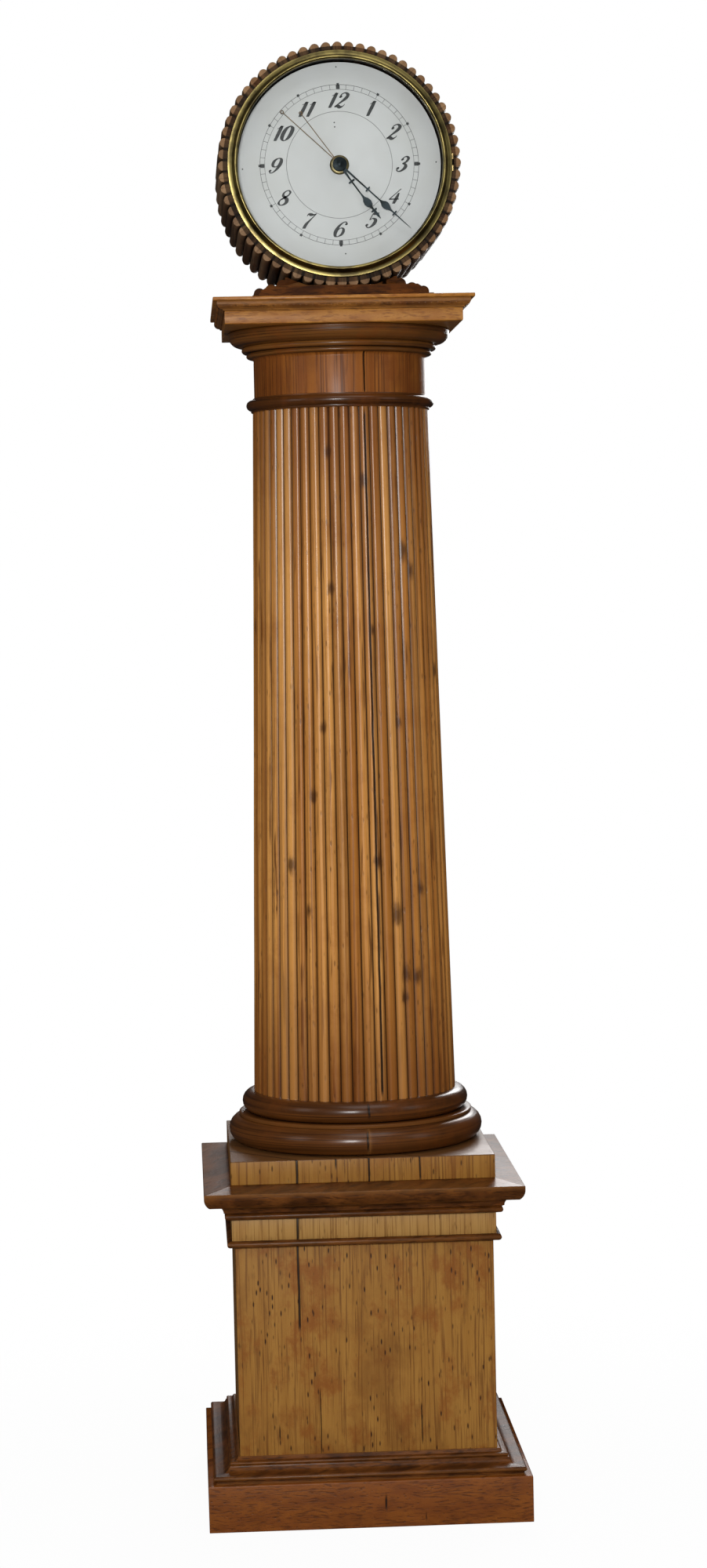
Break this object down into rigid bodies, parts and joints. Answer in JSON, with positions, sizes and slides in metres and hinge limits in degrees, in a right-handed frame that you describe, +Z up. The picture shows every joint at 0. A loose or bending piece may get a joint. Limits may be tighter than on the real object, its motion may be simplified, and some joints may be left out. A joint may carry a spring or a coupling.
{
  "type": "column longcase clock",
  "caption": "Tall case clock with a round reeded head, white dial and brass bezel on a tapered reeded wooden column over a square pedestal.",
  "frame": {"origin": "on the floor, under the middle of the square plinth", "axes": "+Z up the column, -Y out of the dial, +X to the right of the dial seen from the front"},
  "size_m": [0.45, 0.45, 2.0522],
  "materials": {
    "pine": "varnished softwood",
    "pine_dark": "stained and varnished softwood",
    "pine_head": "dull aged softwood",
    "pine_raw": "bare softwood inside the case",
    "brass": "aged brass",
    "steel": "dark steel",
    "iron": "blackened iron",
    "white_dial": "white painted sheet iron",
    "clear_glass": "thin clear glass",
    "rope": "twisted hemp rope"
  },
  "bodies": {
    "case": {"abacus_board": "pine", "abacus_boards": "pine", "abacus_crown": "pine_dark", "astragal": "pine_dark", "base_moulding": "pine_dark", "column_block": "pine", "corner_blocks": "pine_raw", "cornice_board": "pine", "cornice_moulding": "pine_dark", "dial": "white_dial", "dial_collet": "brass", "dial_feet": "brass", "die_boards": "pine", "drum_reeds": "pine_head", "drum_rings": "pine_head", "drum_shell": "pine_head", "echinus": "pine_dark", "frieze_bead": "pine_dark", "frieze_boards": "pine", "head_plinth": "pine", "hinge_leaves": "brass", "lower_torus": "pine_dark", "movement_pillars": "brass", "movement_plates": "brass", "neck": "pine", "plinth_boards": "pine", "rope_over_pulley": "rope", "seatboard": "pine_raw", "shaft_left": "pine", "shaft_right": "pine", "suspension_cock": "brass", "upper_torus": "pine_dark"},
    "shaft_door": {"shaft_door": "pine", "shaft_door_leaves": "brass", "shaft_door_knob": "brass"},
    "back_cover": {"back_cover": "pine_head", "back_cover_leaves": "brass", "back_cover_knob": "brass"},
    "bezel_door": {"bezel": "brass", "bezel_glass": "clear_glass", "bezel_leaf": "brass"},
    "minute_arbor": {"centre_arbor": "brass", "minute_hand": "steel"},
    "hour_pipe": {"hour_wheel": "brass", "hour_hand": "steel"},
    "minute_wheel": {"minute_wheel": "brass"},
    "great_wheel": {"great_wheel": "brass"},
    "click": {"click": "steel"},
    "rope_pulley": {"rope_pulley": "brass"},
    "third_wheel": {"third_wheel": "brass"},
    "escape_wheel": {"escape_wheel": "brass"},
    "anchor": {"pallet_anchor": "steel"},
    "pendulum": {"suspension_spring": "steel", "pendulum_rod": "steel", "pendulum_bob": "brass", "rating_nut": "brass"},
    "weight": {"weight": "iron", "weight_rope": "rope"},
    "counterweight": {"counterweight": "iron", "counter_rope": "rope"}
  },
  "joints": [
    {"name": "shaft_door_hinge", "type": "hinge", "parent": "case", "child": "shaft_door", "pos_m": [0.08684, 0.11413, 0.72], "axis": [0.0127, 0.0167, -0.9998], "range_deg": [0, 100]},
    {"name": "back_cover_hinge", "type": "hinge", "parent": "case", "child": "back_cover", "pos_m": [0.15, 0.1435, 1.883], "axis": [0, 0, -1], "range_deg": [0, 110]},
    {"name": "bezel_hinge", "type": "hinge", "parent": "case", "child": "bezel_door", "pos_m": [0.156, -0.1366, 1.883], "axis": [0, 0, 1], "range_deg": [0, 110]},
    {"name": "minute_spin", "type": "hinge", "parent": "case", "child": "minute_arbor", "pos_m": [0, 0, 1.883], "axis": [0, 1, 0], "continuous": true},
    {"name": "hour_spin", "type": "hinge", "parent": "case", "child": "hour_pipe", "pos_m": [0, 0, 1.883], "axis": [0, 1, 0], "continuous": true},
    {"name": "minute_wheel_spin", "type": "hinge", "parent": "case", "child": "minute_wheel", "pos_m": [-0.02771, 0, 1.867], "axis": [0, 1, 0], "continuous": true},
    {"name": "great_wheel_spin", "type": "hinge", "parent": "case", "child": "great_wheel", "pos_m": [0, 0, 1.8305], "axis": [0, 1, 0], "continuous": true},
    {"name": "click_lift", "type": "hinge", "parent": "great_wheel", "child": "click", "pos_m": [0.0295, -0.0535, 1.8305], "axis": [0, 1, 0], "range_deg": [0, 12]},
    {"name": "rope_pulley_spin", "type": "hinge", "parent": "case", "child": "rope_pulley", "pos_m": [0, -0.044, 1.8305], "axis": [0, 1, 0], "range_deg": [-1720, 560]},
    {"name": "third_wheel_spin", "type": "hinge", "parent": "case", "child": "third_wheel", "pos_m": [0.018, 0, 1.9142], "axis": [0, 1, 0], "continuous": true},
    {"name": "escape_wheel_spin", "type": "hinge", "parent": "case", "child": "escape_wheel", "pos_m": [0, 0, 1.9389], "axis": [0, 1, 0], "continuous": true},
    {"name": "anchor_rock", "type": "hinge", "parent": "case", "child": "anchor", "pos_m": [0, 0, 1.9672], "axis": [0, 1, 0], "range_deg": [-2, 2]},
    {"name": "pendulum_swing", "type": "hinge", "parent": "case", "child": "pendulum", "pos_m": [0, 0.002, 1.9672], "axis": [0, 1, 0], "range_deg": [-2, 2]},
    {"name": "weight_travel", "type": "slide", "parent": "case", "child": "weight", "axis": [0, 0, 1], "range_m": [-0.95, 0.3], "deforming": ["weight_rope"]},
    {"name": "counterweight_travel", "type": "slide", "parent": "case", "child": "counterweight", "axis": [0, 0, 1], "range_m": [-0.32, 0.97], "deforming": ["counter_rope"]}
  ],
  "couplings": [
    {"joint": "hour_spin", "follows": "minute_spin", "ratio": 0.083333},
    {"joint": "minute_wheel_spin", "follows": "minute_spin", "ratio": -0.33333},
    {"joint": "great_wheel_spin", "follows": "minute_spin", "ratio": -0.16667},
    {"joint": "third_wheel_spin", "follows": "minute_spin", "ratio": -8},
    {"joint": "escape_wheel_spin", "follows": "minute_spin", "ratio": 60},
    {"joint": "anchor_rock", "follows": "pendulum_swing", "ratio": 1},
    {"joint": "rope_pulley_spin", "follows": "weight_travel", "rad_per_m": 31.25},
    {"joint": "counterweight_travel", "follows": "weight_travel", "ratio": -1}
  ]
}
